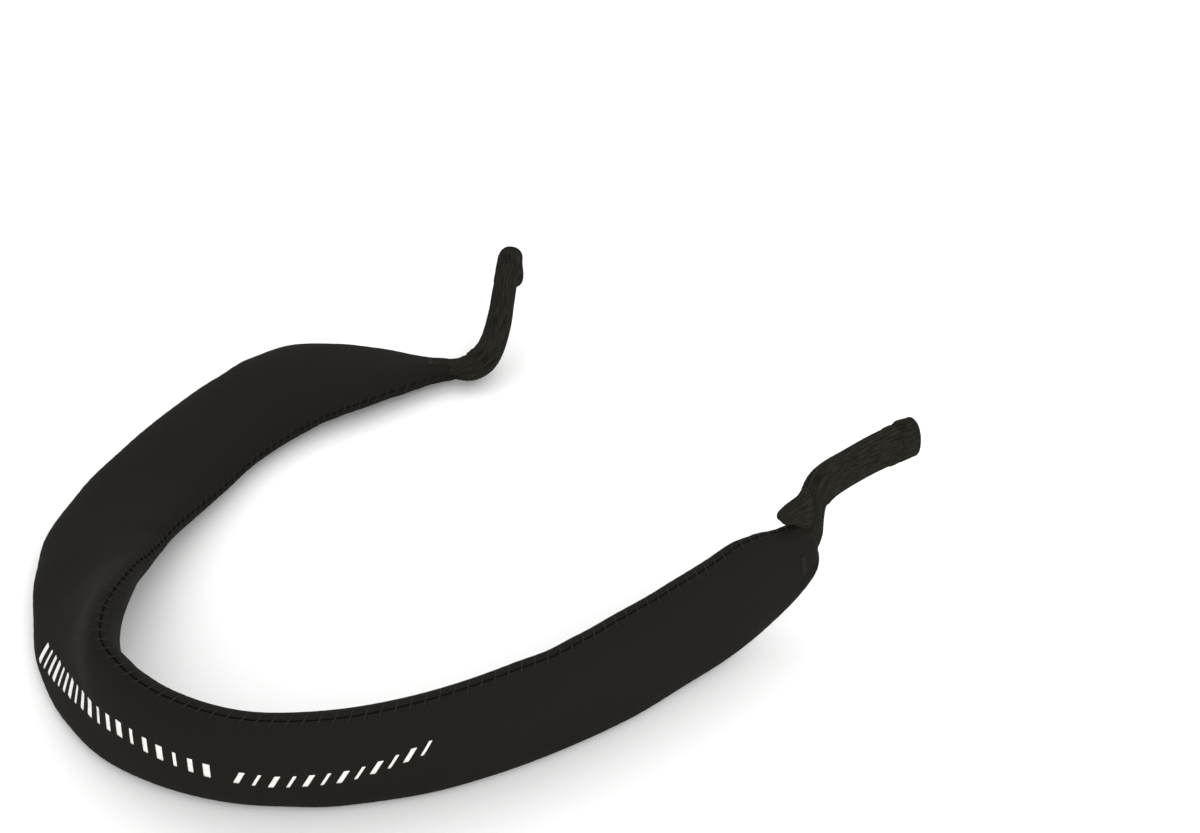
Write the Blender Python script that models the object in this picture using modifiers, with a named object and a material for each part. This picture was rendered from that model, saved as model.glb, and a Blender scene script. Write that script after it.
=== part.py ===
"""Floating eyewear retainer strap: a padded neoprene band with a knitted sleeve at each end.

The band lies on its lower edge in a loop, face up on the left and upright in front and on the right.
It is a foam core between an outer and an inner cover, sewn together along both edges. Each end narrows
to a gathered knit root, and beyond it a hollow knit sleeve slips over one temple arm of the glasses.
The band folds at its middle and each sleeve swings at its neck, so those pieces end at the three hinges.
Metres, +Z up, origin under the middle of the strap at table height.
"""

import math

import bmesh
import bpy
import numpy as np
from mathutils import Matrix, Vector

MM = 0.001

# Driving dimensions of the band, in millimetres.
BAND_WIDTH = 28.0
BAND_THICKNESS = 8.5
BAND_END_THICKNESS = 5.0
# The left end is slender and the right one blunt.
BAND_END_WIDTHS = (7.6, 10.0)
TAPER_LENGTHS = (44.0, 30.0)
TAPER_POWERS = (0.95, 0.7)
ROUNDNESS = 2.6  # exponent of the super-ellipse that rounds the section
COVER_THICKNESS = 1.6
SEAM_ALLOWANCE = 3.3  # width of the edge strip where the two covers meet
GAP = 0.3  # clearance between touching pieces
RING_STEP = 5.0

# The seam thread sits in a slot that is open along each edge.
SEAM_SLOT_DEPTH = 1.3
SEAM_SLOT_HALF_HEIGHT = 0.6
SEAM_THREAD_RADIUS = 0.3

# How far the covers and the core stop short of the middle line's left and right ends.
END_TRIMS = (1.0, 2.6)

# The fold across the middle of the band: a round nose on the left half, a square end on the right half.
FOLD_STATION = 5.0
FOLD_CLEARANCE = 6.2

# Sleeves: distances are measured back from the mouth.
SLEEVE_MOUTH = (9.2, 6.1)
SLEEVE_MIDDLE = (9.0, 5.6)
SLEEVE_NECK = (8.6, 5.2)
SLEEVE_WALL = 0.8
SLEEVE_BORE_END = (6.4, 3.4)
MOUTH_FLARE_LENGTH = 8.0
BORE_DEPTH = 21.0
SLEEVE_LENGTH = 28.0
ROOT_START = (6.2, 4.0)
ROOT_CLEARANCES = (4.9, 5.6)  # from the sleeve's hinge to the end of the left and right root
NOSE_STEPS = (0.0, 0.4, 0.7, 0.9, 0.985)

HEM_DISTANCE = 4.5
HEM_THREAD_RADIUS = 0.2
TAIL_WIDTH = 5.4
TAIL_THICKNESS = 2.4
TACK_SIZE = (1.6, 5.0, 0.5)  # along, across, thick
TACK_DISTANCE = 4.0  # from the end of the covers

# Stations that guide the middle line, from the left sleeve's neck round the front to the right one's:
# x, y, z in millimetres and the lean of the width from level, in degrees.
BAND_STATIONS = np.array(
    [
        (-42, 52, 3, 14),
        (-69, 27.9, 5, -1),
        (-68, -12, 4, -1),
        (-55.2, -48.4, 7, 16),
        (-30, -71, 12.5, 57),
        (-10, -83, 14.5, 94),
        (18, -77, 13.5, 107),
        (38, -57, 14, 104),
        (53, -30, 14, 98),
        (61, 3, 13.5, 94),
        (67, 35.3, 16.4, 85),
    ]
)
LEFT_SLEEVE_STATIONS = np.array(
    [
        (-46.4, 80.3, 18.1, 76),
        (-43.8, 75.7, 16.2, 76),
        (-41.5, 70.9, 13.5, 75),
        (-38.4, 66, 9.5, 68),
        (-36, 59.2, 5.2, 50),
        (-37.4, 54.4, 3.6, 30),
        (-42.3, 51.8, 3, 14),
    ]
)
RIGHT_SLEEVE_STATIONS = np.array(
    [
        (66.1, 36.2, 12, 85),
        (66, 37, 16.5, 85),
        (65.6, 37.8, 21, 86),
        (64.4, 39.5, 25, 88),
        (64.2, 45, 25.8, 90),
        (65, 53, 24.3, 90),
        (67.1, 61.7, 24.4, 90),
        (70.1, 69, 24.8, 90),
    ]
)

# The right sleeve's loose tail, from beside its root to the tip.
TAIL_STATIONS = np.array(
    [
        (61.9, 37.1, 22, 84),
        (61.3, 35.1, 22.2, 84),
        (60.6, 33.2, 22.4, 84),
    ]
)

# Moves the strap so that its box is centred over the origin and rests at height zero.
FRAME_SHIFT = (4.3, 1.31, 0.26)

COLORS = {
    "neoprene": (0.017, 0.016, 0.014, 1.0),
    "foam": (0.05, 0.05, 0.05, 1.0),
    "thread": (0.022, 0.021, 0.019, 1.0),
    "knit": (0.020, 0.019, 0.016, 1.0),
}
ROUGHNESS = {"neoprene": 0.85, "foam": 0.95, "thread": 0.6, "knit": 0.9}


def clear_scene():
    for obj in list(bpy.data.objects):
        bpy.data.objects.remove(obj, do_unlink=True)


def new_collection(name):
    collection = bpy.data.collections.new(name)
    bpy.context.scene.collection.children.link(collection)
    return collection


def make_material(name):
    material = bpy.data.materials.new(name)
    material.use_nodes = True
    shader = material.node_tree.nodes["Principled BSDF"]
    shader.inputs["Base Color"].default_value = COLORS[name]
    shader.inputs["Roughness"].default_value = ROUGHNESS[name]
    shader.inputs["Metallic"].default_value = 0.0
    return material


def spline(stations, u):
    """Uniform cubic B-spline through the station rows' ends, at parameter u from 0 to the last row."""
    before = 2 * stations[0] - stations[1]
    after = 2 * stations[-1] - stations[-2]
    rows = np.vstack([before, stations, after])
    i = min(int(u), len(stations) - 2)
    f = u - i
    a, b, c, d = rows[i : i + 4]
    weights = ((1 - f) ** 3, 3 * f**3 - 6 * f**2 + 4, -3 * f**3 + 3 * f**2 + 3 * f + 1, f**3)
    return (weights[0] * a + weights[1] * b + weights[2] * c + weights[3] * d) / 6


class Path:
    """A middle line with a section frame: place, way along, way across and way out of the outer face."""

    SAMPLES = 400

    def __init__(self, stations):
        self.stations = np.array(stations, float)
        self.last = len(stations) - 1
        self.u = np.linspace(0, self.last, self.SAMPLES)
        points = np.array([spline(self.stations, u)[:3] for u in self.u])
        steps = np.linalg.norm(np.diff(points, axis=0), axis=1)
        self.s = np.concatenate([[0], np.cumsum(steps)])
        self.length = self.s[-1]

    def distance_at(self, u):
        return float(np.interp(u, self.u, self.s))

    def frame(self, s):
        """Frame at distance s along the line. Past an end the line runs straight on."""
        inside = min(max(s, 0.0), self.length)
        u = float(np.interp(inside, self.s, self.u))
        step = 0.01
        ahead = spline(self.stations, min(u + step, self.last))
        behind = spline(self.stations, max(u - step, 0.0))
        row = spline(self.stations, u)
        along = Vector(ahead[:3] - behind[:3]).normalized()
        place = Vector(row[:3]) + along * (s - inside)
        inward = Vector((0, 0, 1)).cross(along).normalized()
        upward = along.cross(inward)
        lean = math.radians(row[3])
        across = inward * math.cos(lean) + upward * math.sin(lean)
        return place, along, across, along.cross(across)

    def place(self, s, across=0.0, out=0.0):
        """Point at distance s, moved across the width and out of the outer face."""
        origin, _, way_across, way_out = self.frame(s)
        return origin + way_across * across + way_out * out


def distances(start, end, step=RING_STEP):
    count = max(2, math.ceil(abs(end - start) / step) + 1)
    return list(np.linspace(start, end, count))


def link_mesh(name, points, faces, material, collection):
    mesh = bpy.data.meshes.new(name)
    mesh.from_pydata([p * MM for p in points], [], faces)
    mesh.materials.append(material)
    mesh.shade_smooth()
    mesh.set_sharp_from_angle(angle=math.radians(50))
    obj = bpy.data.objects.new(name, mesh)
    collection.objects.link(obj)
    return obj


def loft(name, rings, material, collection):
    """Closed skin over rings of equal point count that turn left-handed about the way along."""
    count = len(rings[0])
    points = [p for ring in rings for p in ring]
    faces = []
    for r in range(len(rings) - 1):
        for k in range(count):
            a = r * count + k
            b = r * count + (k + 1) % count
            faces.append((a, b, b + count, a + count))
    faces.append(tuple(reversed(range(count))))
    faces.append(tuple(range(len(points) - count, len(points))))
    return link_mesh(name, points, faces, material, collection)


def super_ellipse(half_width, half_height, angle, roundness=ROUNDNESS):
    power = 2 / roundness
    c, s = math.cos(angle), math.sin(angle)
    x = math.copysign(abs(c) ** power, c) * half_width
    y = math.copysign(abs(s) ** power, s) * half_height
    return x, y


def band_size(path, s):
    """Width and thickness of the band at distance s, narrowing over the taper at each end."""
    end = 0 if s < path.length / 2 else 1
    from_end = (path.length - s if end else s) / TAPER_LENGTHS[end]
    share = math.sin(math.pi / 2 * min(max(from_end, 0.0), 1.0)) ** TAPER_POWERS[end]
    width = BAND_END_WIDTHS[end] + (BAND_WIDTH - BAND_END_WIDTHS[end]) * share
    thickness = BAND_END_THICKNESS + (BAND_THICKNESS - BAND_END_THICKNESS) * share
    return width, thickness


def cover_section(width, thickness):
    """Half-shell outline: over the outside, round the slotted edge, and back round the core's hollow."""
    half = width / 2
    shell = min(COVER_THICKNESS, thickness * 0.3)
    steps = 12
    outline = []
    for k in range(steps + 1):
        angle = math.pi * (0.06 + 0.88 * k / steps)
        outline.append(super_ellipse(half, thickness / 2, angle))
    slot_floor = half - SEAM_SLOT_DEPTH
    outline.append((-slot_floor, SEAM_SLOT_HALF_HEIGHT))
    outline.append((-slot_floor, GAP / 2))
    hollow_half = half - SEAM_ALLOWANCE
    hollow_height = thickness / 2 - shell
    for k in range(9):
        x, y = super_ellipse(hollow_half, hollow_height, math.pi * (1 - k / 8))
        outline.append((x, max(y, GAP / 2)))
    outline.append((slot_floor, GAP / 2))
    outline.append((slot_floor, SEAM_SLOT_HALF_HEIGHT))
    return outline


def core_section(width, thickness):
    shell = min(COVER_THICKNESS, thickness * 0.3)
    half = width / 2 - SEAM_ALLOWANCE - GAP
    height = thickness / 2 - shell - GAP
    return [super_ellipse(half, height, 2 * math.pi * (k + 0.5) / 14) for k in range(14)]


def band_rings(path, span, section, side=1):
    rings = []
    for s in distances(*span):
        outline = section(*band_size(path, s))
        ring = [path.place(s, x, side * y) for x, y in outline]
        rings.append(ring if side > 0 else ring[::-1])
    return rings


def thread_along(name, points, radius, material, collection, cyclic=False):
    """Round thread through the points."""
    curve = bpy.data.curves.new(name, "CURVE")
    curve.dimensions = "3D"
    line = curve.splines.new("POLY")
    line.points.add(len(points) - 1)
    for target, point in zip(line.points, points):
        target.co = (*(point * MM), 1)
    line.use_cyclic_u = cyclic
    curve.bevel_depth = radius * MM
    curve.bevel_resolution = 1
    curve.use_fill_caps = not cyclic
    curve.materials.append(material)
    obj = bpy.data.objects.new(name, curve)
    collection.objects.link(obj)
    return obj


def make_relief(path, s, collection):
    """Cutter that leaves a round nose, as thick as the band, about the upright fold axis."""
    radius = BAND_THICKNESS / 2
    reach = 20.0
    _, along, _, _ = path.frame(s)
    heading = Vector((along.x, along.y, 0)).normalized()
    sideways = Vector((0, 0, 1)).cross(heading)
    outline = [(0, -reach), (reach, -reach), (reach, reach), (0, reach)]
    for k in range(13):
        angle = math.pi * (0.5 - k / 12)
        outline.append((radius * math.cos(angle), radius * math.sin(angle)))
    centre = path.place(s)
    rings = []
    for height in (-25.0, 25.0):
        ring = [centre + heading * x + sideways * y + Vector((0, 0, height)) for x, y in outline]
        rings.append(ring)
    cutter = loft("fold_relief", rings, make_material("foam"), collection)
    cutter.hide_render = True
    cutter.display_type = "WIRE"
    return cutter


def cut(obj, cutter):
    modifier = obj.modifiers.new("relief", "BOOLEAN")
    modifier.operation = "DIFFERENCE"
    modifier.solver = "EXACT"
    modifier.object = cutter


def make_band(path, materials, collection, cutters):
    fold = path.distance_at(FOLD_STATION)
    relief = make_relief(path, fold, cutters)
    spans = {
        "left": (END_TRIMS[0], fold + BAND_THICKNESS / 2 + 0.5),
        "right": (fold + FOLD_CLEARANCE, path.length - END_TRIMS[1]),
    }
    for half, span in spans.items():
        pieces = [
            (f"outer_cover_{half}", cover_section, 1, "neoprene"),
            (f"inner_cover_{half}", cover_section, -1, "neoprene"),
            (f"float_core_{half}", core_section, 1, "foam"),
        ]
        for name, section, side, material in pieces:
            rings = band_rings(path, span, section, side)
            obj = loft(name, rings, materials[material], collection)
            if half == "left":
                cut(obj, relief)
        make_seams(path, half, span, materials["thread"], collection)


def make_seams(path, half, span, material, collection):
    """One line of seam thread in the slot of each edge, stopping short of the fold's nose."""
    start, end = span
    if half == "left":
        end -= BAND_THICKNESS / 2
    for edge, side in (("upper", 1), ("lower", -1)):
        points = []
        for s in distances(start + 1, end - 1):
            width, _ = band_size(path, s)
            inset = SEAM_THREAD_RADIUS + GAP
            points.append(path.place(s, side * (width / 2 - inset), 0))
        thread_along(f"{edge}_seam_{half}", points, SEAM_THREAD_RADIUS, material, collection)


def sleeve_size(distance):
    """Outer width and thickness of a sleeve at a distance back from its mouth."""
    marks = (0.0, MOUTH_FLARE_LENGTH, SLEEVE_LENGTH)
    width = np.interp(distance, marks, (SLEEVE_MOUTH[0], SLEEVE_MIDDLE[0], SLEEVE_NECK[0]))
    thickness = np.interp(distance, marks, (SLEEVE_MOUTH[1], SLEEVE_MIDDLE[1], SLEEVE_NECK[1]))
    return float(width), float(thickness)


def oval_ring(path, s, width, thickness, count=16):
    ring = []
    for k in range(count):
        x, y = super_ellipse(width / 2, thickness / 2, 2 * math.pi * k / count, 2.2)
        ring.append(path.place(s, x, y))
    return ring


def sleeve_rings(path, mouth, inward):
    """Rings from the bottom of the bore out to the mouth, and back over the outside to the round nose."""
    rings = []
    for d in (BORE_DEPTH, 16.0, 12.0, MOUTH_FLARE_LENGTH, 4.0, 0.0):
        share = d / BORE_DEPTH
        width = (SLEEVE_MOUTH[0] - 2 * SLEEVE_WALL) * (1 - share) + SLEEVE_BORE_END[0] * share
        thickness = (SLEEVE_MOUTH[1] - 2 * SLEEVE_WALL) * (1 - share) + SLEEVE_BORE_END[1] * share
        rings.append(oval_ring(path, mouth + inward * d, width, thickness))
    for d in (0.0, 4.0, MOUTH_FLARE_LENGTH, 12.0, 16.0, 20.0, 24.0):
        rings.append(oval_ring(path, mouth + inward * d, *sleeve_size(d)))
    width, thickness = sleeve_size(SLEEVE_LENGTH)
    for step in NOSE_STEPS:
        d = SLEEVE_LENGTH + step * thickness / 2
        flat = thickness * math.sqrt(1 - step**2)
        rings.append(oval_ring(path, mouth + inward * d, width, flat))
    return rings


def make_sleeve(side, path, mouth, inward, materials, collection):
    """Hollow sleeve from its mouth inward: inward is 1 where the line starts at the mouth, -1 where it ends."""
    rings = sleeve_rings(path, mouth, inward)
    if inward < 0:
        rings = [ring[::-1] for ring in rings]
    loft(f"{side}_sleeve", rings, materials["knit"], collection)
    width, thickness = sleeve_size(HEM_DISTANCE)
    lift = 2 * (GAP + HEM_THREAD_RADIUS)
    hem = oval_ring(path, mouth + inward * HEM_DISTANCE, width + lift, thickness + lift, 20)
    thread_along(f"{side}_hem_stitch", hem, HEM_THREAD_RADIUS, materials["thread"], collection, True)


def make_root(side, path, hinge, band_end, materials, collection):
    """Gathered knit between the band's end and the sleeve's neck."""
    rings = []
    for s in distances(band_end, hinge, 1.5):
        share = (s - band_end) / (hinge - band_end)
        width = ROOT_START[0] + (SLEEVE_NECK[0] - ROOT_START[0]) * share
        thickness = ROOT_START[1] + (SLEEVE_NECK[1] - ROOT_START[1]) * share
        rings.append(oval_ring(path, s, width, thickness))
    if hinge < band_end:
        rings.reverse()
    loft(f"{side}_sleeve_root", rings, materials["knit"], collection)


def make_tail(material, collection):
    """Loose end of the right sleeve's knit: a flat tongue with a rounded tip."""
    path = Path(TAIL_STATIONS)
    rings = []
    for share in (0.0, 0.3, 0.55, 0.75, 0.9, 1.0):
        roundness = math.sqrt(1 - (0.9 * share) ** 4)
        width = TAIL_WIDTH * roundness
        thickness = TAIL_THICKNESS * (0.6 + 0.4 * roundness)
        rings.append(oval_ring(path, share * path.length, width, thickness, 14))
    loft("right_sleeve_tail", rings, material, collection)


def make_tack(name, path, s, material, collection):
    """Dense stitches that hold the sleeve's root, as a small pad on the outer face."""
    _, band_thickness = band_size(path, s)
    _, along, across, out = path.frame(s)
    centre = path.place(s, 0, band_thickness / 2 + GAP + TACK_SIZE[2] / 2)
    mesh = bpy.data.meshes.new(name)
    shape = bmesh.new()
    bmesh.ops.create_cube(shape, size=MM)
    bmesh.ops.scale(shape, vec=TACK_SIZE, verts=shape.verts)
    shape.to_mesh(mesh)
    shape.free()
    mesh.materials.append(material)
    obj = bpy.data.objects.new(name, mesh)
    collection.objects.link(obj)
    turn = Matrix((along, across, out)).transposed()
    obj.matrix_world = Matrix.Translation(centre * MM) @ turn.to_4x4()
    bevel = obj.modifiers.new("soft_edges", "BEVEL")
    bevel.width = TACK_SIZE[2] * 0.35 * MM
    bevel.segments = 2


def make_pivot(name, place, parent=None, parent_place=None):
    """Empty on a joint's axis. Its place and its parent's are in millimetres, before the frame's shift."""
    pivot = bpy.data.objects.new(name, None)
    pivot.empty_display_size = 0.01
    bpy.context.scene.collection.objects.link(pivot)
    pivot.parent = parent
    pivot.location = (place - (parent_place or Vector())) * MM
    return pivot


def carry(pivot, place, pieces):
    """Parents the pieces to a pivot and leaves them where they are."""
    for piece in pieces:
        piece.parent = pivot
        piece.matrix_parent_inverse = Matrix.Translation(-place * MM)


def assemble(fold, left_hinge, right_hinge, parts, cutters):
    """Strap frame, the fold, and one swinging sleeve on each half of the band."""
    pieces = {obj.name: obj for obj in parts.objects}
    sleeves = {
        side: [pieces.pop(f"{side}_sleeve"), pieces.pop(f"{side}_hem_stitch")]
        for side in ("left", "right")
    }
    right_half = [obj for name, obj in pieces.items() if "right" in name]
    left_half = [obj for name, obj in pieces.items() if "left" in name]
    frame = make_pivot("strap_frame", Vector(FRAME_SHIFT))
    fold_pivot = make_pivot("band_fold_pivot", fold, frame)
    left_pivot = make_pivot("left_sleeve_pivot", left_hinge, frame)
    right_pivot = make_pivot("right_sleeve_pivot", right_hinge, fold_pivot, fold)
    carry(frame, Vector(), left_half + list(cutters.objects))
    carry(fold_pivot, fold, right_half)
    carry(left_pivot, left_hinge, sleeves["left"])
    carry(right_pivot, right_hinge, sleeves["right"])


def main():
    clear_scene()
    parts = new_collection("retainer_strap")
    cutters = new_collection("cutters")
    materials = {name: make_material(name) for name in COLORS}
    band = Path(BAND_STATIONS)
    left = Path(LEFT_SLEEVE_STATIONS)
    right = Path(RIGHT_SLEEVE_STATIONS)
    left_hinge = SLEEVE_LENGTH
    right_hinge = right.length - SLEEVE_LENGTH

    make_band(band, materials, parts, cutters)
    make_sleeve("left", left, 0.0, 1, materials, parts)
    make_sleeve("right", right, right.length, -1, materials, parts)
    make_root("left", left, left_hinge + ROOT_CLEARANCES[0], left.length - GAP, materials, parts)
    make_root("right", right, right_hinge - ROOT_CLEARANCES[1], GAP, materials, parts)
    make_tail(materials["knit"], parts)
    left_tack = END_TRIMS[0] + TACK_DISTANCE
    right_tack = band.length - END_TRIMS[1] - TACK_DISTANCE
    make_tack("left_bar_tack", band, left_tack, materials["thread"], parts)
    make_tack("right_bar_tack", band, right_tack, materials["thread"], parts)

    fold = band.place(band.distance_at(FOLD_STATION))
    assemble(fold, left.place(left_hinge), right.place(right_hinge), parts, cutters)


main()
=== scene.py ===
"""Floating eyewear retainer strap: its looks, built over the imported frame.

The padded band is two jersey-faced neoprene covers, foam inside, and stitched edges. At each end a ribbed
knit tube leaves the band, bends at its neck and opens in a hemmed mouth. Lengths inside this script are
millimetres until a mesh is made.
"""

import math

import bmesh
import bpy
import numpy as np
from mathutils import Matrix, Vector


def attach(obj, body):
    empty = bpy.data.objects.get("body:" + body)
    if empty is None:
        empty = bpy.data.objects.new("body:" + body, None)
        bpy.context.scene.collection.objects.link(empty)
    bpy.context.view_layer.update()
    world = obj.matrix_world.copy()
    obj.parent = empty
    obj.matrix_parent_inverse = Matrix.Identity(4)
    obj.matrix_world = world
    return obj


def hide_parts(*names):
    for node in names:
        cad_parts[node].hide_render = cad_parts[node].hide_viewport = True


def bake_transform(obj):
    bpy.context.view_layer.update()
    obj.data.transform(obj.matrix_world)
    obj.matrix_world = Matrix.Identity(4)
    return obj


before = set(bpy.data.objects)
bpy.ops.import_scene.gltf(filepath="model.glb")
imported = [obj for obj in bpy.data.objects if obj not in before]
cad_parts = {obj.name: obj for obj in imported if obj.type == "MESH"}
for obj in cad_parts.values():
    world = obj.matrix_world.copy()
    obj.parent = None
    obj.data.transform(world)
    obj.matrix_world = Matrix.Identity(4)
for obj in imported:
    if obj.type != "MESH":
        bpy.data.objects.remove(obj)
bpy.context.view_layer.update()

MM = 0.001
UV_PER_MM = 0.1
LINE_SAMPLES = 1500

# Carries the stations below to the CAD model's place.
FRAME_SHIFT = np.array((4.3, 1.31, 0.26))

# The band, as in the CAD model.
BAND_WIDTH = 28.0
BAND_THICKNESS = 8.5
BAND_END_WIDTHS = (7.6, 10.0)
BAND_END_THICKNESSES = (4.2, 5.0)
TAPER_LENGTHS = (44.0, 30.0)
TAPER_POWERS = (0.95, 0.7)
ROUNDNESS = 2.6

# Middle line of the band from its left end: x, y, z and lean in degrees.
BAND_STATIONS = (
    (-42, 52, 3, 14),
    (-69, 27.9, 5, -1),
    (-68, -12, 4, -1),
    (-55.2, -48.4, 7, 16),
    (-30, -71, 12.5, 57),
    (-10, -83, 14.5, 94),
    (18, -77, 13.5, 107),
    (38, -57, 14, 104),
    (53, -30, 14, 98),
    (61, 3, 13.5, 94),
    (67, 35.3, 16.4, 85),
)

# How the two sewn edges stray from an even band: distance along, width added, and shift out.
INNER_DRIFT = (
    (0, -0.7, 0.6),
    (4, -0.5, 0.3),
    (8, 0.1, 0),
    (12, 1.1, 0),
    (22, 2.0, 0),
    (30, 1.6, 0),
    (38, 0.8, 0),
    (64, 0.35, 0),
    (76, 0.8, 0),
    (102, 0.6, 0),
    (110, 0, -0.8),
    (119, 0, -0.72),
    (132, 0, 0.1),
    (152, 0, 1.2),
    (160, 0, 1.25),
    (169, 0, 0.1),
    (175, 0, -0.2),
    (184, 0, -0.35),
    (200, 0, 0),
    (216, 0, 0.28),
    (244, 0, 0.1),
    (251, 0, 0.42),
    (258, 0, 0),
    (267, 0, -0.32),
    (278, 0, 0),
    (291, -0.5, 0),
    (299, 0.25, 0),
    (304, -0.15, 0),
    (310, -0.9, 0),
    (318, 0, 0),
)
OUTER_DRIFT = (
    (0, -0.4, 0.4),
    (5, -0.8, 0),
    (16, 0.4, 0),
    (24, 1.0, 0),
    (32, 1.7, 0),
    (40, 0.4, 0),
    (48, -0.9, 0),
    (60, -1.2, 0),
    (75, -1.1, 0),
    (90, -0.1, 0),
    (103, 1.0, 0),
    (112, 0, 0),
    (123, -0.65, 0),
    (134, 0.4, 0),
    (144, 0.45, 0),
    (154, -0.2, 0),
    (166, -0.1, 0),
    (180, 0.2, 0),
    (198, 0, 0),
    (210, 0, 0.62),
    (224, 0, 0.7),
    (240, 0, 0.38),
    (268, 0, 0.55),
    (284, 0, 0),
    (304, 0, 0),
    (318, 0, 0.6),
)

# The knit tubes: middle lines from the left mouth to its root, and from the right root to its mouth.
LEFT_SLEEVE_STATIONS = (
    (-46.4, 80.3, 18.1, 76),
    (-43.8, 75.7, 16.2, 76),
    (-41.5, 70.9, 13.5, 75),
    (-38.4, 66, 9.5, 68),
    (-36, 59.2, 5.2, 50),
    (-37.4, 54.4, 3.6, 30),
    (-42.3, 51.8, 3, 14),
)
RIGHT_SLEEVE_STATIONS = (
    (66.1, 36.2, 12, 85),
    (66, 37, 16.5, 85),
    (65.6, 37.8, 21, 86),
    (64.4, 39.5, 25, 88),
    (64.2, 45, 25.8, 90),
    (65, 53, 24.3, 90),
    (67.1, 61.7, 24.4, 90),
    (70.1, 69, 24.8, 90),
)

# Their sizes: marks are distances from the mouth, with a width and a thickness for each.
SLEEVE_LENGTH = 28.0
SLEEVE_MARKS = (0.0, 8.0, 28.0)
SLEEVE_WIDTHS = (9.0, 8.8, 8.6)
SLEEVE_THICKNESSES = (5.4, 5.3, 5.3)
ROOT_WIDTH = 6.2
ROOT_THICKNESS = 4.0
BORE_WIDTHS = (7.6, 6.4)
BORE_THICKNESSES = (4.4, 3.2)
BORE_DEPTH = 21.0
MOUTH_EDGE = 0.45
SLEEVE_ROUNDNESS = 2.2

# Distance to each side of a sleeve's swing axis at which the build looks up places on its line; those
# places are not used further.
SWING_REACH = 5.0

# The knit: ribs round a tube, and the pitch of its rows.
WALES = 26
COURSE_PITCH = 0.75

# The hem, in distances from the mouth.
HEM_EDGE = 7.0
HEM_STITCH = 4.5
HEM_STITCH_COUNT = 13
HEM_STITCH_RADIUS = 0.15

# The jersey face: widths of a wale and of a row.
JERSEY_WALE = 0.62
JERSEY_ROW = 0.5

# The band's sewing.
STITCH_PITCH = 2.6
STITCH_RADIUS = 0.17
STITCH_SLANT = 1.3
STITCH_SPREAD = 0.42
SEAM_GROOVE = 0.20
SEAM_PUCKER = 0.11
END_GATHER = 0.13
TACK_PITCH = 0.42
TACK_RADIUS = 0.2

# How far the covers' inner wall and the foam lie inside the band's half width and half thickness.
COVER_INSETS = (2.6, 1.5)
CORE_INSETS = (3.0, 1.75)

# The print: first and last place, count, widths in turn, height and slant of each run of bars, and how
# high the runs lie on the band's face at places along it.
PRINT_RUNS = (
    (136.0, 188.0, 19, (1.2, 0.6, 0.9), 4.2, 0.1),
    (193.5, 225.5, 12, (0.95, 0.55), 3.8, 0.4),
)
PRINT_STATIONS = (134.0, 148.0, 160.0, 172.0, 185.0, 200.0, 212.0, 228.0)
PRINT_HEIGHTS = (-10.0, -4.9, -0.3, 2.4, 1.2, -0.4, 0.3, 5.6)
PRINT_THICKNESS = 0.10

# How far the right neck's flap stands out of the band's middle surface.
FLAP_OUT = 0.5


class Path:
    """A middle line with a section frame at every distance along it."""

    def __init__(self, stations):
        rows = np.array(stations, float)
        rows[:, :3] += FRAME_SHIFT
        before = 2 * rows[0] - rows[1]
        after = 2 * rows[-1] - rows[-2]
        self.rows = np.vstack([before, rows, after])
        self.last = len(rows) - 1
        self.u = np.linspace(0, self.last, LINE_SAMPLES)
        steps = np.linalg.norm(np.diff(self.row_at(self.u)[:, :3], axis=0), axis=1)
        self.s = np.concatenate([[0], np.cumsum(steps)])
        self.length = self.s[-1]

    def row_at(self, u):
        """Uniform cubic B-spline over the station rows."""
        i = np.minimum(u.astype(int), self.last - 1)
        f = (u - i)[:, None]
        a, b, c, d = (self.rows[i + k] for k in range(4))
        return (
            (1 - f) ** 3 * a
            + (3 * f**3 - 6 * f**2 + 4) * b
            + (-3 * f**3 + 3 * f**2 + 3 * f + 1) * c
            + f**3 * d
        ) / 6

    def frames(self, s):
        """Places, ways along, ways across and ways out at the distances s.

        Past an end the line runs straight on.
        """
        s = np.atleast_1d(np.asarray(s, float))
        inside = np.clip(s, 0, self.length)
        u = np.interp(inside, self.s, self.u)
        row = self.row_at(u)
        step = 0.01
        ahead = self.row_at(np.minimum(u + step, self.last))
        behind = self.row_at(np.maximum(u - step, 0))
        along = unit((ahead - behind)[:, :3])
        place = row[:, :3] + along * (s - inside)[:, None]
        inward = unit(np.stack([-along[:, 1], along[:, 0], np.zeros(len(s))], 1))
        upward = np.cross(along, inward)
        lean = np.radians(row[:, 3])[:, None]
        across = inward * np.cos(lean) + upward * np.sin(lean)
        return place, along, across, np.cross(along, across)

    def bend(self, s):
        """Radians per millimetre that the line turns towards its across and out ways at distances s."""
        s = np.ravel(s)
        _, _, across, out = self.frames(s)
        window = 3
        turn = (self.frames(s + window)[1] - self.frames(s - window)[1]) / (2 * window)
        return (turn * across).sum(axis=1)[:, None], (turn * out).sum(axis=1)[:, None]

    def points(self, s, x, y):
        """Points x across and y out of the line at distances s. x and y have a row for each distance."""
        place, _, across, out = self.frames(s)
        return place[:, None] + across[:, None] * x[..., None] + out[:, None] * y[..., None]


def unit(v):
    return v / np.maximum(np.linalg.norm(v, axis=-1, keepdims=True), 1e-12)


def smooth(t):
    t = np.clip(t, 0, 1)
    return t * t * (3 - 2 * t)


def bell(x, width):
    return np.exp(-((x / width) ** 2))


# ---------------------------------------------------------------- meshes


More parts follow.
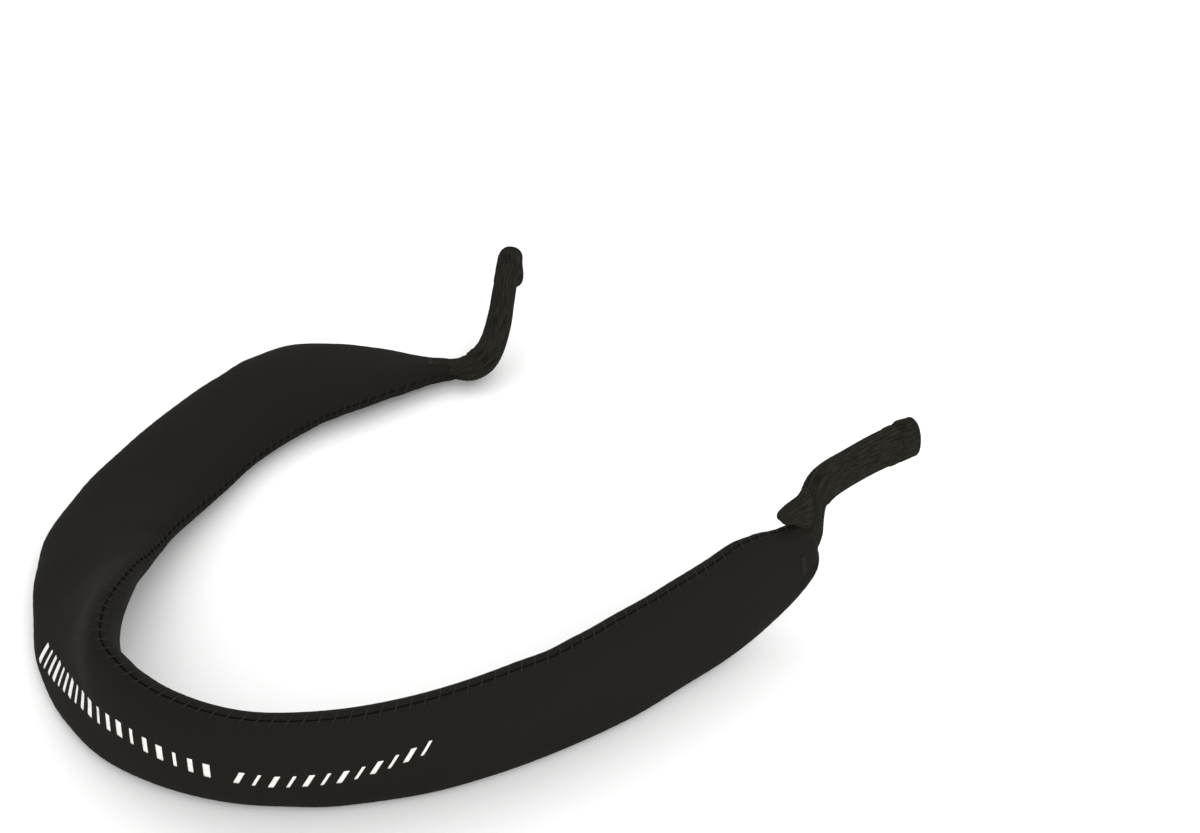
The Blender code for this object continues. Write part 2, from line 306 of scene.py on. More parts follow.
def new_piece(name, points, faces, material, uv=None):
    """Closed mesh from points in millimetres, with its normals turned out."""
    mesh = bpy.data.meshes.new(name)
    mesh.from_pydata((np.asarray(points) * MM).tolist(), [], faces)
    if uv is not None:
        layer = mesh.uv_layers.new(name="cloth")
        layer.data.foreach_set("uv", np.asarray(uv, np.float32).ravel())
    shape = bmesh.new()
    shape.from_mesh(mesh)
    bmesh.ops.recalc_face_normals(shape, faces=shape.faces)
    shape.to_mesh(mesh)
    shape.free()
    mesh.shade_smooth()
    mesh.materials.append(material)
    piece = bpy.data.objects.new(name, mesh)
    bpy.context.scene.collection.objects.link(piece)
    return piece


def grid_piece(name, points, along, around, material):
    """Piece over a grid whose rows are closed rings, capped at both ends.

    along and around give its cloth UVs in millimetres.
    """
    rows, cols = points.shape[:2]
    index = np.arange(rows * cols).reshape(rows, cols)
    nxt = np.roll(index, -1, axis=1)
    faces = np.stack([index[:-1], nxt[:-1], nxt[1:], index[1:]], -1).reshape(-1, 4).tolist()
    faces.append(index[0].tolist())
    faces.append(index[-1][::-1].tolist())
    u = np.broadcast_to(along[:, None], (rows, cols))
    v = np.broadcast_to(around[None, :-1], (rows, cols))
    w = np.broadcast_to(around[None, 1:], (rows, cols))
    corners = [(u[:-1], v[:-1]), (u[:-1], w[:-1]), (u[1:], w[1:]), (u[1:], v[1:])]
    uv = np.stack([np.stack(c, -1) for c in corners], 2).reshape(-1, 2)
    caps = np.zeros((2 * cols, 2))
    uv = np.vstack([uv, caps]) * UV_PER_MM
    return new_piece(name, points.reshape(-1, 3), faces, material, uv)


def thread_piece(name, lines, radius, material):
    """One mesh of many short threads. Each line is an array of points; its ends are rounded off."""
    sides = 8
    guide = np.array((0.3, 0.2, 0.9))
    points, faces = [], []
    for line in lines:
        n = len(line)
        along = unit(np.gradient(line, axis=0))
        side = unit(np.cross(along, guide))
        other = np.cross(along, side)
        t = np.linspace(-1, 1, n)
        size = radius * np.sqrt(np.clip(1 - np.abs(t) ** 6, 0.02, 1))
        base = len(points) * sides
        for k in range(n):
            ring = []
            for j in range(sides):
                a = 2 * math.pi * j / sides
                ring.append(line[k] + size[k] * (math.cos(a) * side[k] + math.sin(a) * other[k]))
            points.append(ring)
        for k in range(n - 1):
            for j in range(sides):
                a = base + k * sides + j
                b = base + k * sides + (j + 1) % sides
                faces.append((a, b, b + sides, a + sides))
        faces.append(tuple(range(base, base + sides)))
        faces.append(tuple(range(base + (n - 1) * sides, base + n * sides)))
    return new_piece(name, np.array(points).reshape(-1, 3), faces, material)


# ---------------------------------------------------------------- materials


class Nodes:
    """A material's node tree, built by short calls."""

    def __init__(self, name, color, roughness):
        self.material = bpy.data.materials.new(name)
        self.material.use_nodes = True
        self.tree = self.material.node_tree
        self.shader = self.tree.nodes["Principled BSDF"]
        self.shader.inputs["Base Color"].default_value = (*color, 1)
        self.shader.inputs["Roughness"].default_value = roughness

    def add(self, kind, settings=None, **inputs):
        """A new node. Its inputs are given by name, or by number as i0, i1 and so on."""
        node = self.tree.nodes.new(kind)
        for key, value in (settings or {}).items():
            setattr(node, key, value)
        for key, value in inputs.items():
            numbered = key[0] == "i" and key[1:].isdigit()
            socket = node.inputs[int(key[1:]) if numbered else key]
            if isinstance(value, bpy.types.NodeSocket):
                self.tree.links.new(value, socket)
            else:
                socket.default_value = value
        return node

    def math(self, operation, a, b=0.0, c=0.0):
        return self.add("ShaderNodeMath", {"operation": operation}, i0=a, i1=b, i2=c).outputs[0]

    def noise(self, vector, scale, detail=3.0, roughness=0.55):
        settings = {"Vector": vector, "Scale": scale, "Detail": detail, "Roughness": roughness}
        return self.add("ShaderNodeTexNoise", None, **settings).outputs[0]

    def mix_color(self, factor, low, high):
        node = self.add("ShaderNodeMix", {"data_type": "RGBA"}, i0=factor)
        for socket, value in ((node.inputs[6], low), (node.inputs[7], high)):
            if isinstance(value, bpy.types.NodeSocket):
                self.tree.links.new(value, socket)
            else:
                socket.default_value = (*value, 1)
        return node.outputs[2]

    def mapped(self, value, low, high, to_low, to_high):
        node = self.add("ShaderNodeMapRange", None, i0=value, i1=low, i2=high, i3=to_low, i4=to_high)
        return node.outputs[0]

    def bump(self, height, strength, distance, normal=None):
        node = self.add("ShaderNodeBump", None, Strength=strength, Distance=distance, Height=height)
        if normal is not None:
            self.tree.links.new(normal, node.inputs["Normal"])
        return node.outputs[0]

    def to_shader(self, **inputs):
        for key, value in inputs.items():
            socket = self.shader.inputs[key.replace("_", " ")]
            if isinstance(value, bpy.types.NodeSocket):
                self.tree.links.new(value, socket)
            else:
                socket.default_value = value
        return self.material


def cloth_uv(nodes):
    """The cloth's UV, and the distances along and around that it holds, in units of 10 mm."""
    uv = nodes.add("ShaderNodeUVMap", {"uv_map": "cloth"}).outputs[0]
    split = nodes.add("ShaderNodeSeparateXYZ", None, Vector=uv)
    return uv, split.outputs[0], split.outputs[1]


def neoprene_material():
    """Jersey-faced neoprene: fine wales along the band, faint mottling, and a dull sheen."""
    n = Nodes("jersey_neoprene", (0.0175, 0.0158, 0.0130), 0.8)
    place = n.add("ShaderNodeTexCoord").outputs["Object"]
    uv, along, around = cloth_uv(n)
    wale = n.math("SINE", n.math("MULTIPLY", around, 2 * math.pi / (JERSEY_WALE * UV_PER_MM)))
    row = n.math("SINE", n.math("MULTIPLY", along, 2 * math.pi / (JERSEY_ROW * UV_PER_MM)))
    crossed = n.math("MULTIPLY", n.math("MULTIPLY", wale, row), 0.4)
    loops = n.math("ADD", n.math("MULTIPLY", wale, 0.6), crossed)
    fibres = n.noise(uv, 90.0, 4.0, 0.6)
    cloudy = n.noise(place, 70.0, 3.0)
    height = n.math("ADD", n.math("MULTIPLY", loops, 0.5), fibres)
    color = n.mix_color(cloudy, (0.0079, 0.0071, 0.0056), (0.0108, 0.0097, 0.0078))
    color = n.mix_color(n.mapped(fibres, 0.45, 0.75, 0.0, 0.35), color, (0.0172, 0.0154, 0.0128))
    roughness = n.mapped(cloudy, 0.3, 0.7, 0.74, 0.88)
    normal = n.bump(height, 0.35, 0.00012)
    n.to_shader(Base_Color=color, Roughness=roughness, Normal=normal)
    return n.to_shader(Sheen_Weight=0.003, Sheen_Roughness=0.5, Specular_IOR_Level=0.03)


def knit_material():
    """Ribbed stretch knit: yarn fuzz, slightly browner ridges, matte."""
    n = Nodes("rib_knit", (0.018, 0.016, 0.0125), 0.9)
    place = n.add("ShaderNodeTexCoord").outputs["Object"]
    uv, _, _ = cloth_uv(n)
    fuzz = n.noise(uv, 60.0, 5.0, 0.65)
    streaks = n.add("ShaderNodeMapping", None, Vector=uv, Scale=(0.12, 1.0, 1.0)).outputs[0]
    streak = n.noise(streaks, 26.0, 3.0, 0.6)
    cloudy = n.noise(place, 160.0, 2.0)
    ridge = n.mapped(streak, 0.35, 0.68, 0.0, 1.0)
    color = n.mix_color(ridge, (0.0062, 0.0055, 0.0042), (0.0225, 0.0202, 0.0155))
    color = n.mix_color(n.mapped(cloudy, 0.4, 0.8, 0.0, 0.3), color, (0.017, 0.0155, 0.013))
    normal = n.bump(fuzz, 0.5, 0.00010)
    n.to_shader(Base_Color=color, Roughness=n.mapped(fuzz, 0.3, 0.7, 0.82, 0.96), Normal=normal)
    return n.to_shader(Sheen_Weight=0.006, Sheen_Roughness=0.45, Specular_IOR_Level=0.03)


def thread_material():
    """Twisted polyester thread."""
    n = Nodes("seam_thread", (0.013, 0.012, 0.010), 0.7)
    place = n.add("ShaderNodeTexCoord").outputs["Object"]
    twist = n.noise(place, 2600.0, 2.0)
    color = n.mix_color(twist, (0.009, 0.0082, 0.007), (0.020, 0.0184, 0.016))
    n.to_shader(Base_Color=color, Roughness=n.mapped(twist, 0.3, 0.7, 0.65, 0.8))
    return n.to_shader(Normal=n.bump(twist, 0.4, 0.00008), Specular_IOR_Level=0.06)


def ink_material():
    """Screen-printed white ink: thin, a little uneven, with the cloth's grain showing through."""
    n = Nodes("white_ink", (0.72, 0.70, 0.67), 0.6)
    place = n.add("ShaderNodeTexCoord").outputs["Object"]
    grain = n.noise(place, 1500.0, 3.0, 0.6)
    wear = n.noise(place, 420.0, 2.0)
    color = n.mix_color(n.mapped(grain, 0.35, 0.75, 0.0, 0.5), (0.78, 0.76, 0.73), (0.52, 0.50, 0.48))
    color = n.mix_color(n.mapped(wear, 0.60, 0.78, 0.0, 0.5), color, (0.35, 0.34, 0.32))
    n.to_shader(Base_Color=color, Roughness=n.mapped(grain, 0.3, 0.7, 0.5, 0.72))
    return n.to_shader(Normal=n.bump(grain, 0.4, 0.00006))


def foam_material():
    """Closed-cell foam."""
    n = Nodes("closed_cell_foam", (0.05, 0.05, 0.05), 0.95)
    place = n.add("ShaderNodeTexCoord").outputs["Object"]
    cells = n.add("ShaderNodeTexVoronoi", None, Vector=place, Scale=1800.0).outputs[0]
    color = n.mix_color(cells, (0.035, 0.035, 0.036), (0.07, 0.07, 0.07))
    n.to_shader(Base_Color=color, Roughness=n.mapped(cells, 0.0, 1.0, 0.85, 0.98))
    return n.to_shader(Normal=n.bump(cells, 0.5, 0.0002))


def floor_material():
    n = Nodes("pale_floor", (0.86, 0.86, 0.855), 0.9)
    return n.to_shader(Specular_IOR_Level=0.1)


# ---------------------------------------------------------------- band


def super_ellipse(half_width, half_height, angle, roundness=ROUNDNESS):
    """Section coordinates of a rounded oval at angles."""
    c, s = np.cos(angle), np.sin(angle)
    x = np.sign(c) * np.abs(c) ** (2 / roundness) * half_width
    y = np.sign(s) * np.abs(s) ** (2 / roundness) * half_height
    return x, y


def outward(x, y, half_width, half_height, roundness=ROUNDNESS):
    """Unit normal of a super-ellipse in its own plane."""
    nx = np.sign(x) * np.abs(x / half_width) ** (roundness - 1) / half_width
    ny = np.sign(y) * np.abs(y / half_height) ** (roundness - 1) / half_height
    size = np.maximum(np.hypot(nx, ny), 1e-9)
    return nx / size, ny / size


def band_halves(s):
    """Half width and half thickness of the band at distances s."""
    right = s > band.length / 2
    from_end = np.where(right, (band.length - s) / TAPER_LENGTHS[1], s / TAPER_LENGTHS[0])
    power = np.where(right, TAPER_POWERS[1], TAPER_POWERS[0])
    end_width = np.where(right, BAND_END_WIDTHS[1], BAND_END_WIDTHS[0])
    share = np.sin(math.pi / 2 * np.clip(from_end, 0, 1)) ** power
    width = end_width + (BAND_WIDTH - end_width) * share
    end_thickness = np.where(right, BAND_END_THICKNESSES[1], BAND_END_THICKNESSES[0])
    thickness = end_thickness + (BAND_THICKNESS - end_thickness) * share
    return width / 2, thickness / 2


def end_close(s):
    """Share of full size left where the covers close over the knit at each end."""
    left = np.clip((s - BAND_SPAN[0]) / 3.0, 0, 1)
    right = np.clip((BAND_SPAN[1] - s) / 2.6, 0, 1)
    left_share = 0.8 + 0.2 * np.sqrt(1 - (1 - left) ** 2)
    right_share = 0.55 + 0.45 * np.sqrt(1 - (1 - right) ** 2)
    return left_share * right_share


def drift(table, s):
    """Width added to an edge and its shift out at distances s, smooth between the table's rows."""
    rows = np.array(table)
    i = np.clip(np.searchsorted(rows[:, 0], s, "right") - 1, 0, len(rows) - 2)
    t = smooth((s - rows[i, 0]) / (rows[i + 1, 0] - rows[i, 0]))[:, None]
    return rows[i, 1:] * (1 - t) + rows[i + 1, 1:] * t


def band_points(s, x, y):
    """Points of the band from its section coordinates, with the sewn edges straying a little."""
    half = band_halves(s)[0][:, None]
    inner, outer = drift(INNER_DRIFT, s), drift(OUTER_DRIFT, s)
    near_inner, near_outer = smooth(x / half), smooth(-x / half)
    x = x + inner[:, :1] * near_inner - outer[:, :1] * near_outer
    y = y + inner[:, 1:] * near_inner + outer[:, 1:] * near_outer
    return band.points(s, x, y)


def band_section(s, angle, lift=0.0):
    """Section coordinates of the band's outside at distances s (a column) and angles (a row)."""
    half, height = band_halves(s)
    close = end_close(s)
    half, height = half * close, height * close
    x, y = super_ellipse(half, height, angle)
    nx, ny = outward(x, y, half, height)
    from_seam = np.abs(y)
    groove = -SEAM_GROOVE * bell(from_seam, 0.4) + 0.07 * bell(from_seam - 1.1, 0.6)
    pull = 0.5 - 0.5 * np.cos(2 * math.pi * s / STITCH_PITCH)
    pucker = -SEAM_PUCKER * pull * bell(from_seam, 1.7)
    long_swell = 0.10 * np.sin(s / 11.0 + 1.3 * np.cos(angle))
    short_swell = 0.08 * np.sin(s / 6.3 + 2.1 * np.sin(angle) + 1.0)
    swell = (long_swell + short_swell) * smooth((height - 2.2) / 2)
    near_left = bell(np.maximum(s - BAND_SPAN[0], 0), 9.0)
    near_right = bell(np.maximum(BAND_SPAN[1] - s, 0), 8.0)
    folds = np.cos(9 * angle + 0.8 * np.sin(s / 3.0)) + 0.6 * np.cos(14 * angle + 1.7)
    gather = END_GATHER * folds * (near_left + 0.7 * near_right)
    offset = groove + pucker + swell + gather + lift
    return x + nx * offset, y + ny * offset


def cover_piece(name, first_angle, material):
    """One cover: half of the band's outside from seam to seam, with its inner wall round the foam."""
    edge = np.array((0.010, 0.028, 0.048, 0.072, 0.10, 0.135, 0.175, 0.225, 0.285, 0.35))
    middle = np.linspace(0.43, math.pi - 0.43, 28)
    half_turn = np.concatenate([edge, middle, math.pi - edge[::-1]])
    row_pitch = 0.5
    s = np.arange(BAND_SPAN[0], BAND_SPAN[1] + row_pitch / 2, row_pitch)
    rows = s[:, None]
    x, y = band_section(rows, half_turn[None] + first_angle)
    side = 1 if first_angle == 0 else -1
    y = side * np.maximum(side * y, 0.04)
    half, height = band_halves(rows)
    close = end_close(rows)
    back = np.linspace(math.pi * 0.94, math.pi * 0.06, 12)[None]
    wall_half, wall_height = (half - COVER_INSETS[0]) * close, (height - COVER_INSETS[1]) * close
    wall_x, wall_y = super_ellipse(wall_half, wall_height, back)
    wall_y = np.maximum(wall_y, 0.08)
    x = np.hstack([x, wall_x * side])
    y = np.hstack([y, wall_y * side])
    points = band_points(s, x, y)
    ring = points[len(s) // 2]
    steps = np.linalg.norm(np.roll(ring, -1, axis=0) - ring, axis=1)
    around = np.concatenate([[0], np.cumsum(steps)])
    return grid_piece(name, points, s, around, material)


def core_piece(material):
    """The foam inside the covers."""
    s = np.arange(BAND_SPAN[0] + 3.5, BAND_SPAN[1] - 3.4, 2.0)
    rows = s[:, None]
    half, height = band_halves(rows)
    columns, girth, fit = 40, 50, 0.98
    angle = np.linspace(0, 2 * math.pi, columns, endpoint=False)[None]
    x, y = super_ellipse((half - CORE_INSETS[0]) * fit, (height - CORE_INSETS[1]) * fit, angle)
    around = np.linspace(0, girth, columns + 1)
    return grid_piece("float_core", band_points(s, x, y), s, around, material)


def band_point(s, angle, lift):
    """One point of the band's outside for each distance s and its angle."""
    s = np.atleast_1d(np.asarray(s, float))
    angle = np.atleast_1d(np.asarray(angle, float))
    x, y = band_section(s[:, None], angle[:, None], lift)
    return band_points(s, x, y)[:, 0]


def seam_piece(name, at_angle, material):
    """Overlock stitches over one edge: slanted threads that cross the seam's groove."""
    t = np.linspace(0, 1, 9)
    lift = 0.02 + 0.16 * np.sin(math.pi * t)
    angles = at_angle + STITCH_SPREAD * (0.5 - t)
    side = 1 if at_angle == 0 else -1
    lines = []
    for middle in np.arange(BAND_SPAN[0] + 4, BAND_SPAN[1] - 3, STITCH_PITCH):
        s = middle + STITCH_SLANT * (t - 0.5)
        first, last = band_point(s, angles, 0.0)[[0, -1]]
        chord = first + (last - first) * t[:, None]
        _, _, across, _ = band.frames(s)
        lines.append(chord + side * across * lift[:, None])
    return thread_piece(name, lines, STITCH_RADIUS, material)


def face_point(s, x, lift):
    """Points of the outer face at distances s and x millimetres up from its middle line."""
    s, x = np.ravel(s), np.ravel(x)
    half = band_halves(s)[0]
    angle = np.arccos(np.clip(np.sign(x) * np.abs(x / half) ** (ROUNDNESS / 2), -1, 1))
    return band_point(s, angle, lift)


def print_piece(material):
    """Two runs of short printed bars along the outer face: bold upright ones, then fine slanted ones."""
    rows, cols = 7, 4
    count = rows * cols
    up, side = np.meshgrid(np.linspace(-0.5, 0.5, rows), np.linspace(-0.5, 0.5, cols), indexing="ij")
    points, faces = [], []
    for first, last, bars, widths, tall, slant in PRINT_RUNS:
        for k, middle in enumerate(np.linspace(first, last, bars)):
            wide = widths[k % len(widths)]
            height = np.interp(middle, PRINT_STATIONS, PRINT_HEIGHTS)
            s = middle + side * wide + up * tall * slant
            x = height + up * tall
            at = np.arange(count).reshape(rows, cols) + len(points) * count
            points += [face_point(s, x, PRINT_THICKNESS), face_point(s, x, -PRINT_THICKNESS)]
            for i in range(rows - 1):
                for j in range(cols - 1):
                    face = [int(v) for v in (at[i, j], at[i, j + 1], at[i + 1, j + 1], at[i + 1, j])]
                    faces.append(face)
                    faces.append([v + count for v in face[::-1]])
            rim = np.concatenate([at[0, :-1], at[:-1, -1], at[-1, :0:-1], at[:0:-1, 0]])
            for a, b in zip(rim, np.roll(rim, -1)):
                faces.append((int(a), int(b), int(b) + count, int(a) + count))
    return new_piece("printed_bars", np.vstack(points), faces, material)


def tack_piece(name, middle, material):
    """Bar tack: a close row of short stitches across the outer face near an end."""
    t = np.linspace(-1, 1, 7)
    _, _, _, out = band.frames(middle)
    lift = 0.10 - 0.16 * t**2
    lines = []
    for x in np.arange(-2.1, 2.15, TACK_PITCH):
        jog = 0.1 * (x % (2 * TACK_PITCH) > TACK_PITCH)
        at = face_point(middle + 0.8 * t + jog, x + 0.12 * t, 0.0)
        lines.append(at + out * lift[:, None])
    return thread_piece(name, lines, TACK_RADIUS, material)


def flap_piece(name, material):
    """The folded corner of the knit that stands out beside the right neck, in the plane of the band."""
    t = np.linspace(0, 1, 110)
    s = band.length + 1.2 - 9.5 * t
    top = 14.6 - 1.9 * t**2 - 1.6 * (1 - t) ** 6
    low = 3.0 + 7.4 * smooth(t) + 0.4 * t
    blunt = np.sqrt(1 - np.clip((t - 0.84) / 0.16, 0, 1) ** 2.4) * 0.96 + 0.04
    middle, half = (top + low) / 2, (top - low) / 2 * blunt
    depth = (1.75 - 0.5 * t) * (0.3 + 0.7 * blunt)
    columns, girth, roundness, wales = 160, 24, 2.1, 18
    share = np.arange(columns) / columns
    angle = 2 * math.pi * share
    x, y = super_ellipse(half[:, None], depth[:, None], angle[None], roundness)
    nx, ny = outward(x, y, half[:, None], depth[:, None], roundness)
    ridge = np.abs(np.sin(math.pi * wales * share + 0.5 * np.sin(s / 2.0)[:, None]))
    small_folds = 0.22 * np.sin(s / 1.1 + 1.2)[:, None] * np.sin(angle)
    large_folds = 0.18 * np.sin(s[:, None] / 2.3 + 3 * np.sin(angle))
    lift = (0.16 * ridge - 0.08 + small_folds + large_folds) * blunt[:, None]
    sunk = 1.4 * (1 - smooth(t / 0.45))[:, None]
    curl = 0.8 * smooth((t - 0.5) / 0.5)[:, None] * np.cos(angle)
    points = band.points(s, middle[:, None] + x + nx * lift, FLAP_OUT - sunk - curl + y + ny * lift)
    return grid_piece(name, points, s, np.linspace(0, girth, columns + 1), material)


# ---------------------------------------------------------------- knit sleeves


def ring_angles(count, width=9.0, thickness=5.5):
    """Angles round an oval at equal steps of its outline, the share at each, and the whole length."""
    fine = np.linspace(0, 2 * math.pi, 2001)
    x, y = super_ellipse(width / 2, thickness / 2, fine, SLEEVE_ROUNDNESS)
    arc = np.concatenate([[0], np.cumsum(np.hypot(np.diff(x), np.diff(y)))])
    share = np.arange(count) / count
    return np.interp(share * arc[-1], arc, fine), share, arc[-1]


class Sleeve:
    """A knit tube: distance d runs from its mouth towards the band.

    bulge is the angle, height, start and end of a bump near the mouth. bunching is how far the knit stands
    out on the inner and the outer side of a bend, for each radian per millimetre. root_narrowing and
    root_sink shape the last few millimetres, which enter the band.
    """

    def __init__(self, path, from_start, bulge, bunching, root_narrowing, root_sink):
        self.path = path
        self.from_start = from_start
        self.bulge = bulge
        self.bunching = bunching
        self.root_narrowing = root_narrowing
        self.root_sink = np.array(root_sink)

    def along(self, d):
        return d if self.from_start else self.path.length - d

    def section(self, d, angle, share, lift=0.0):
        """Section coordinates of the tube's outside at distances d (a column) and angles (a row)."""
        marks = (*SLEEVE_MARKS, self.path.length)
        width = np.interp(d, marks, (*SLEEVE_WIDTHS, ROOT_WIDTH))
        thickness = np.interp(d, marks, (*SLEEVE_THICKNESSES, ROOT_THICKNESS))
        x, y = super_ellipse(width / 2, thickness / 2, angle, SLEEVE_ROUNDNESS)
        nx, ny = outward(x, y, width / 2, thickness / 2, SLEEVE_ROUNDNESS)
        wander = 0.35 * np.sin(d / 5.1 + 2.0 * np.cos(angle)) + 0.2 * np.sin(d / 2.3 + 3.0 * np.sin(angle))
        turn = share * WALES + wander * 0.35
        across_wale = 2 * (turn - np.floor(turn)) - 1
        ridge = np.sqrt(np.clip(1 - across_wale**2, 0, 1))
        strength = 0.8 + 0.25 * np.sin(3 * angle + d / 4.0)
        legs = np.cos(2 * math.pi * (d / COURSE_PITCH + 0.42 * np.abs(across_wale)))
        knit = strength * (0.24 * ridge - 0.15) + 0.035 * legs * ridge - 0.05 * bell(across_wale, 0.16)
        hem_fold = 0.16 * (1 - smooth((d - HEM_EDGE + 0.35) / 0.5))
        hem = hem_fold - 0.26 * bell(d - HEM_STITCH, 0.45)
        bulge_angle, bulge_height, bulge_start, bulge_end = self.bulge
        away = np.angle(np.exp(1j * (angle - bulge_angle)))
        rise = smooth((d - bulge_start) / (bulge_end - bulge_start)) * (1 - smooth((d - bulge_end) / 1.3))
        bulge = bulge_height * rise * bell(away, 0.8)
        slack = 0.10 * np.sin(d / 3.7 + 2 * np.sin(angle)) * smooth(d / 8)
        turn_x, turn_y = self.path.bend(self.along(d))
        inward = turn_x * np.cos(angle) + turn_y * np.sin(angle)
        folds = 1 + 0.07 * np.sin(2 * math.pi * d / 2.7 + 1.5 * np.sin(2 * angle))
        bunch = np.where(inward > 0, self.bunching[0] * folds, self.bunching[1]) * np.abs(inward)
        tight = np.maximum(np.hypot(turn_x, turn_y), 1e-4)
        room = 0.72 / tight - (x * turn_x + y * turn_y) / tight
        bunch = np.minimum(bunch, np.maximum(room, 0))
        offset = knit + hem + bulge + slack + bunch + lift
        return x + nx * offset, y + ny * offset

    def points(self, d, x, y):
        """Points of the tube; its last few millimetres narrow and sink into the band's end."""
        sink = smooth((np.asarray(d) - self.path.length + 6.0) / 7.0)[:, None]
        x, y = x * (1 - self.root_narrowing * sink), y * (1 - self.root_narrowing * sink)
        return self.path.points(self.along(d), x, y) + sink[..., None] * self.root_sink

    def piece(self, name, root_end, material):
        """The whole tube: up the bore, round the lip of the mouth, and down the outside to root_end."""
        angle, share, around = ring_angles(WALES * 8)
        outside = np.arange(MOUTH_EDGE, root_end, 0.14)
        x, y = self.section(outside[:, None], angle[None], share[None])
        rim_x, rim_y = self.section(np.full((1, 1), MOUTH_EDGE), angle[None], share[None])
        inner_d = np.concatenate([np.linspace(BORE_DEPTH, 2, 10), [MOUTH_EDGE]])
        inner_width = np.interp(inner_d, (0, BORE_DEPTH), BORE_WIDTHS)[:, None]
        inner_thick = np.interp(inner_d, (0, BORE_DEPTH), BORE_THICKNESSES)[:, None]
        bore_x, bore_y = super_ellipse(inner_width / 2, inner_thick / 2, angle[None], SLEEVE_ROUNDNESS)
        rows_x, rows_y, rows_d = [bore_x], [bore_y], [inner_d]
        for turn in np.linspace(0, math.pi, 9)[1:-1]:
            mix = (1 - math.cos(turn)) / 2
            rows_x.append(bore_x[-1:] * (1 - mix) + rim_x * mix)
            rows_y.append(bore_y[-1:] * (1 - mix) + rim_y * mix)
            rows_d.append([MOUTH_EDGE * (1 - math.sin(turn))])
        rows_x.append(x)
        rows_y.append(y)
        rows_d.append(outside)
        d = np.concatenate(rows_d)
        points = self.points(d, np.vstack(rows_x), np.vstack(rows_y))
        cloth = np.cumsum(np.concatenate([[0], np.abs(np.diff(d))]))
        return grid_piece(name, points, cloth, np.append(share, 1.0) * around, material)

    def hem_stitches(self, name, material):
        """A ring of running stitches that holds the folded hem."""
        steps, stitch_steps = 10, 7
        angles, _, _ = ring_angles(HEM_STITCH_COUNT * steps)
        d = np.full((stitch_steps, 1), HEM_STITCH)
        lift = 0.12 + 0.14 * np.sin(np.linspace(0, math.pi, stitch_steps))[:, None]
        lines = []
        for k in range(HEM_STITCH_COUNT):
            at = angles[k * steps : k * steps + stitch_steps, None]
            x, y = self.section(d, at, np.zeros_like(d), lift)
            lines.append(self.points(d[:, 0], x, y)[:, 0])
        return thread_piece(name, lines, HEM_STITCH_RADIUS, material)


# ---------------------------------------------------------------- build

band = Path(BAND_STATIONS)
BAND_SPAN = (-1.2, band.length + 0.5)
TACK_PLACES = (4.5, band.length - 5.5)

cloth = neoprene_material()
knit = knit_material()
thread = thread_material()
ink = ink_material()
foam = foam_material()

# The band.
outer_cover = cover_piece("outer_cover", 0, cloth)
inner_cover = cover_piece("inner_cover", math.pi, cloth)
core = core_piece(foam)
upper_seam = seam_piece("upper_edge_seam", 0, thread)
lower_seam = seam_piece("lower_edge_seam", math.pi, thread)
bars = print_piece(ink)
left_tack = tack_piece("left_end_tack", TACK_PLACES[0], thread)
right_tack = tack_piece("right_end_tack", TACK_PLACES[1], thread)
flap = flap_piece("right_knit_flap", knit)
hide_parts("outer_cover_left", "outer_cover_right")
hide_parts("inner_cover_left", "inner_cover_right")
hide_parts("float_core_left", "float_core_right")
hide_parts("upper_seam_left", "upper_seam_right")
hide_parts("lower_seam_left", "lower_seam_right")
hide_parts("left_bar_tack")
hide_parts("right_bar_tack")
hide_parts("right_sleeve_tail")
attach(left_tack, "left_band")
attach(right_tack, "right_band")
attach(flap, "right_band")

for piece in (outer_cover, inner_cover, core, upper_seam, lower_seam, bars):
    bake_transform(piece)

# The knit sleeves.
left_line = Path(LEFT_SLEEVE_STATIONS)
right_line = Path(RIGHT_SLEEVE_STATIONS)
left = Sleeve(left_line, True, (-math.pi / 2, 1.1, 0.5, 5.6), (10.0, 2.6), 0.12, (0, 0, 0.9))
right = Sleeve(right_line, False, (-0.3, 0.35, 0.5, 3.4), (1.0, 2.0), 0.35, (0.4, -2.8, -0.2))
left_sleeve = left.piece("left_knit_sleeve", left_line.length + 2.5, knit)
right_sleeve = right.piece("right_knit_sleeve", right_line.length + 1.5, knit)
left_hem = left.hem_stitches("left_hem_stitches", thread)
right_hem = right.hem_stitches("right_hem_stitches", thread)
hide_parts("left_sleeve", "left_sleeve_root")
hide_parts("right_sleeve", "right_sleeve_root")
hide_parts("left_hem_stitch")
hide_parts("right_hem_stitch")
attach(left_hem, "left_sleeve")
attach(right_hem, "right_sleeve")
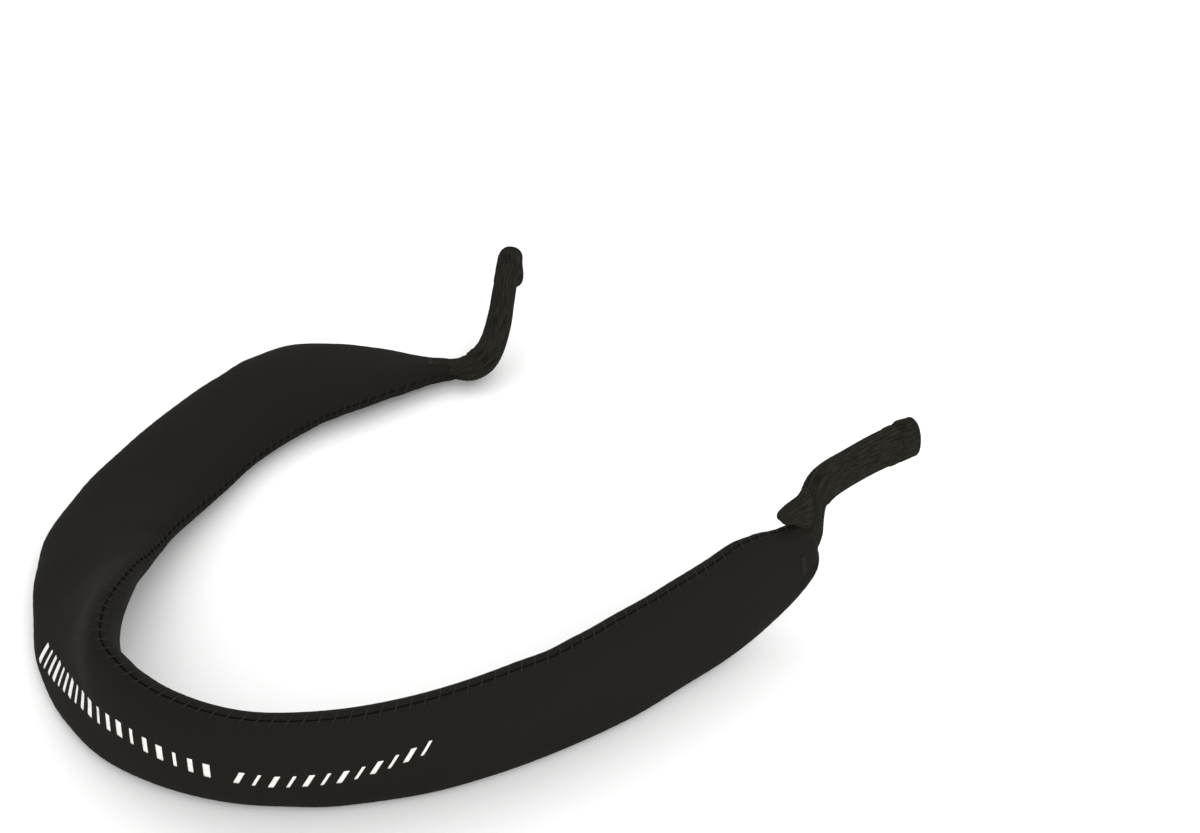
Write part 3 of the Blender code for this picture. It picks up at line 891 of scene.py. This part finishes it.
for sleeve, piece, band_body, sleeve_body in (
    (left, left_sleeve, "left_band", "left_sleeve"),
    (right, right_sleeve, "right_band", "right_sleeve"),
):
    bend_ends = sleeve.along(np.array([SLEEVE_LENGTH + SWING_REACH, SLEEVE_LENGTH - SWING_REACH]))
    ends = sleeve.path.frames(bend_ends)[0]
    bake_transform(piece)

# ---------------------------------------------------------------- stage


def area_light(name, place, target, size, power):
    data = bpy.data.lights.new(name, "AREA")
    data.shape = "DISK"
    data.size = size
    data.energy = power
    light = bpy.data.objects.new(name, data)
    bpy.context.scene.collection.objects.link(light)
    light.location = place
    light.rotation_euler = (Vector(target) - Vector(place)).to_track_quat("-Z", "Y").to_euler()


def make_stage():
    """Plain floor, even white surroundings and two soft lights."""
    mesh = bpy.data.meshes.new("floor")
    side = 3.0
    depth = -0.00005
    corners = [(-side, -side, depth), (side, -side, depth), (side, side, depth), (-side, side, depth)]
    mesh.from_pydata(corners, [], [(0, 1, 2, 3)])
    mesh.materials.append(floor_material())
    floor = bpy.data.objects.new("floor", mesh)
    bpy.context.scene.collection.objects.link(floor)
    world = bpy.data.worlds.new("studio")
    world.use_nodes = True
    background = world.node_tree.nodes["Background"]
    background.inputs[0].default_value = (1, 1, 1, 1)
    background.inputs[1].default_value = 1.1
    bpy.context.scene.world = world
    area_light("key", (0.75, -0.45, 0.6), (0, 0, 0), 1.2, 7.0)
    area_light("fill", (-0.3, 0.4, 0.9), (0, 0, 0), 1.4, 2.0)
    bpy.context.scene.view_settings.view_transform = "Standard"


def make_camera():
    """The photograph's view, as fitted to the strap's outline."""
    data = bpy.data.cameras.new("camera")
    data.sensor_width = 36
    data.lens = 68.4
    data.clip_start = 0.01
    data.clip_end = 20
    camera = bpy.data.objects.new("camera", data)
    bpy.context.scene.collection.objects.link(camera)
    place = Vector((0.24986, -0.27052, 0.30957))
    target = Vector((-0.0017, 0.06331, 0.00026))
    facing = (target - place).to_track_quat("-Z", "Y").to_matrix().to_4x4()
    camera.matrix_world = Matrix.Translation(place) @ facing
    bpy.context.scene.camera = camera


make_stage()
make_camera()
